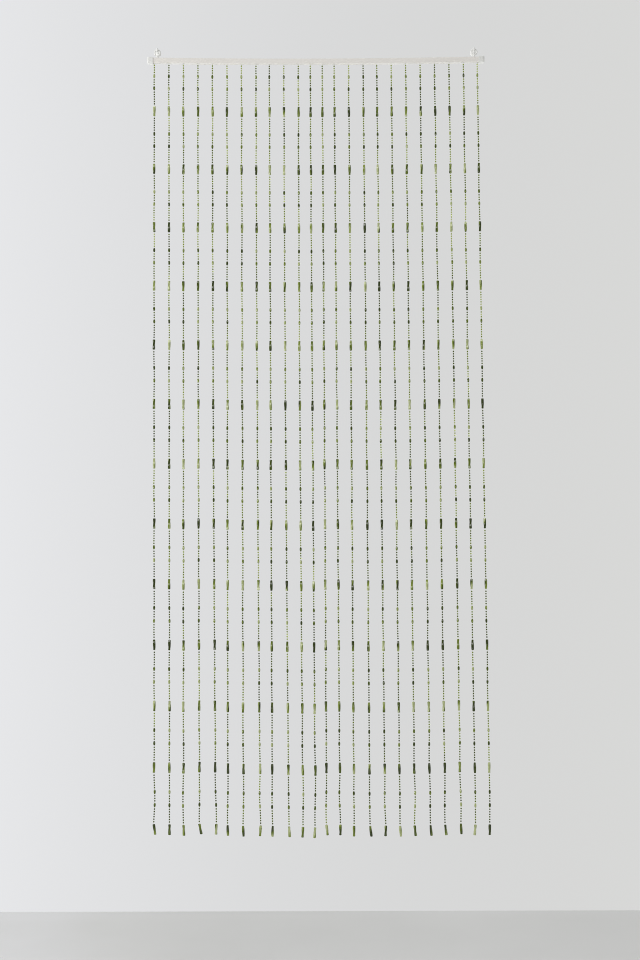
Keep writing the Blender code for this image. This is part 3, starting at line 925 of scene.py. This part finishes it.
def make_world():
    """Pale surroundings. Seen past the curtain they are a pale grey whose brightness is a curve in
    the direction X, the curve times its square, plus the slope times it, plus the middle, and no
    more than the most, so brightest to the left: painted light, as on a wall lit by the window at
    the left; it is cooler at the left. As light they go evenly from the room's in front to the
    wall's behind, with more added from overhead and from below."""
    world = bpy.data.worlds.new("studio")
    bpy.context.scene.world = world
    world.use_nodes = True
    nodes, links = world.node_tree.nodes, world.node_tree.links

    def node(kind, settings=None, inputs=None, output=0):
        made = nodes.new(kind)
        for label, value in (settings or {}).items():
            setattr(made, label, value)
        for label, value in (inputs or {}).items():
            if isinstance(value, bpy.types.NodeSocket):
                links.new(value, made.inputs[label])
            else:
                made.inputs[label].default_value = value
        return made.outputs[output]

    def maths(operation, *terms):
        return node("ShaderNodeMath", {"operation": operation}, dict(enumerate(terms)))

    def spread(direction, span, first, last):
        """A number that goes evenly from first to last over a span of directions."""
        return node("ShaderNodeMapRange", None, {
            "Value": direction, "From Min": span[0], "From Max": span[1],
            "To Min": first, "To Max": last})

    split = nodes.new("ShaderNodeSeparateXYZ")
    links.new(node("ShaderNodeTexCoord", output="Generated"), split.inputs[0])
    across, inward, upward = (split.outputs[axis] for axis in "XYZ")
    slope = maths("MULTIPLY_ADD", across, BACKDROP_CURVE, BACKDROP_SLOPE)
    curve = maths("MULTIPLY_ADD", across, slope, BACKDROP_MIDDLE)
    # painted window light on the backdrop seen past the curtain: brightest to the left
    seen = maths("MINIMUM", curve, BACKDROP_MOST)
    level = spread(inward, WALL_SPAN, ROOM_LIGHT, WALL_LIGHT)
    overhead = spread(upward, CEILING_SPAN, 0.0, CEILING_LIGHT)
    below = spread(upward, BELOW_SPAN, 0.0, BELOW_LIGHT)
    light = maths("ADD", level, maths("ADD", overhead, below))
    camera_ray = node("ShaderNodeLightPath", output="Is Camera Ray")
    strength = node("ShaderNodeMix", {"data_type": "FLOAT"}, {0: camera_ray, 2: light, 3: seen})
    links.new(strength, nodes["Background"].inputs["Strength"])
    rightward = spread(across, COLOUR_SPAN, 0.0, 1.0)
    colours = {0: rightward, 6: COOL_LEFT, 7: WARM_RIGHT}
    colour = node("ShaderNodeMix", {"data_type": "RGBA"}, colours, 2)
    links.new(colour, nodes["Background"].inputs["Color"])


def add_area_light(name, place, aim, size, power, colour):
    """A soft rectangular light, left out of what the camera sees."""
    light = bpy.data.lights.new(name, "AREA")
    light.shape = "RECTANGLE"
    light.size, light.size_y = size
    light.energy = power
    light.color = colour
    made = bpy.data.objects.new(name, light)
    bpy.context.scene.collection.objects.link(made)
    direction = np.array(aim, float) - np.array(place, float)
    made.location = place
    made.rotation_euler = (
        math.atan2(math.hypot(direction[0], direction[1]), -direction[2]),
        0.0,
        math.atan2(-direction[0], direction[1]),
    )
    made.visible_camera = False


def make_lights():
    """A window's worth of soft light from the left and in front, no higher than the curtain."""
    add_area_light(
        "window", WINDOW_PLACE, WINDOW_AIM, WINDOW_SIZE, WINDOW_POWER, WINDOW_COLOUR)


def make_camera():
    """The photograph's viewpoint: below the rail's height, looking slightly up, a little left."""
    data = bpy.data.cameras.new("camera")
    data.lens = CAMERA_LENS
    data.sensor_width = CAMERA_SENSOR
    data.clip_end = CAMERA_FAR
    camera = bpy.data.objects.new("camera", data)
    bpy.context.scene.collection.objects.link(camera)
    cos_yaw, cos_pitch, cos_roll = (math.cos(a) for a in (CAMERA_YAW, CAMERA_PITCH, CAMERA_ROLL))
    sin_yaw, sin_pitch, sin_roll = (math.sin(a) for a in (CAMERA_YAW, CAMERA_PITCH, CAMERA_ROLL))
    about_z = np.array(((cos_yaw, -sin_yaw, 0), (sin_yaw, cos_yaw, 0), (0, 0, 1)))
    about_x = np.array(((1, 0, 0), (0, cos_pitch, -sin_pitch), (0, sin_pitch, cos_pitch)))
    about_y = np.array(((cos_roll, 0, sin_roll), (0, 1, 0), (-sin_roll, 0, cos_roll)))
    right, ahead, up = (about_z @ about_x @ about_y).T
    pose = np.eye(4)
    pose[:3, 0], pose[:3, 1], pose[:3, 2], pose[:3, 3] = right, up, -ahead, CAMERA_PLACE
    camera.matrix_world = Matrix(pose.tolist())
    bpy.context.scene.camera = camera


# ---------------------------------------------------------------- putting it together


def dress(piece, slot, *nodes):
    """Hang a piece on the one body and hide the solids that it stands for. `slot` is not used."""
    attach(piece, "root")
    if nodes:
        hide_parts(*nodes)


def main():
    bpy.context.scene.view_settings.view_transform = "Standard"
    bpy.context.scene.cycles.denoising_prefilter = "FAST"  # the other kinds smear the small beads
    bpy.context.scene.cycles.filter_width = 1.0  # the photograph is as sharp as this
    make_camera()
    for piece in make_beads():
        dress(piece, "beads", "bead_strings")
    dress(make_threads(), "beads", "bead_strings")
    dress(make_strip(), "end_caps", "bead_strings")
    dress(make_rail(), "rail", "rail")
    plastic, coat = moulded_finish(), coated_finish()
    for name, side in (("left", -1), ("right", 1)):
        dress(make_cap("cap_" + name, side, plastic), "end_caps", "end_cap_" + name)
        dress(make_eye("ring_" + name, side, coat), "hardware", "eye_" + name)
        dress(make_hook("wall_hook_" + name, side, coat), "hardware", "hook_" + name)
    make_floor()
    make_world()
    make_lights()


main()
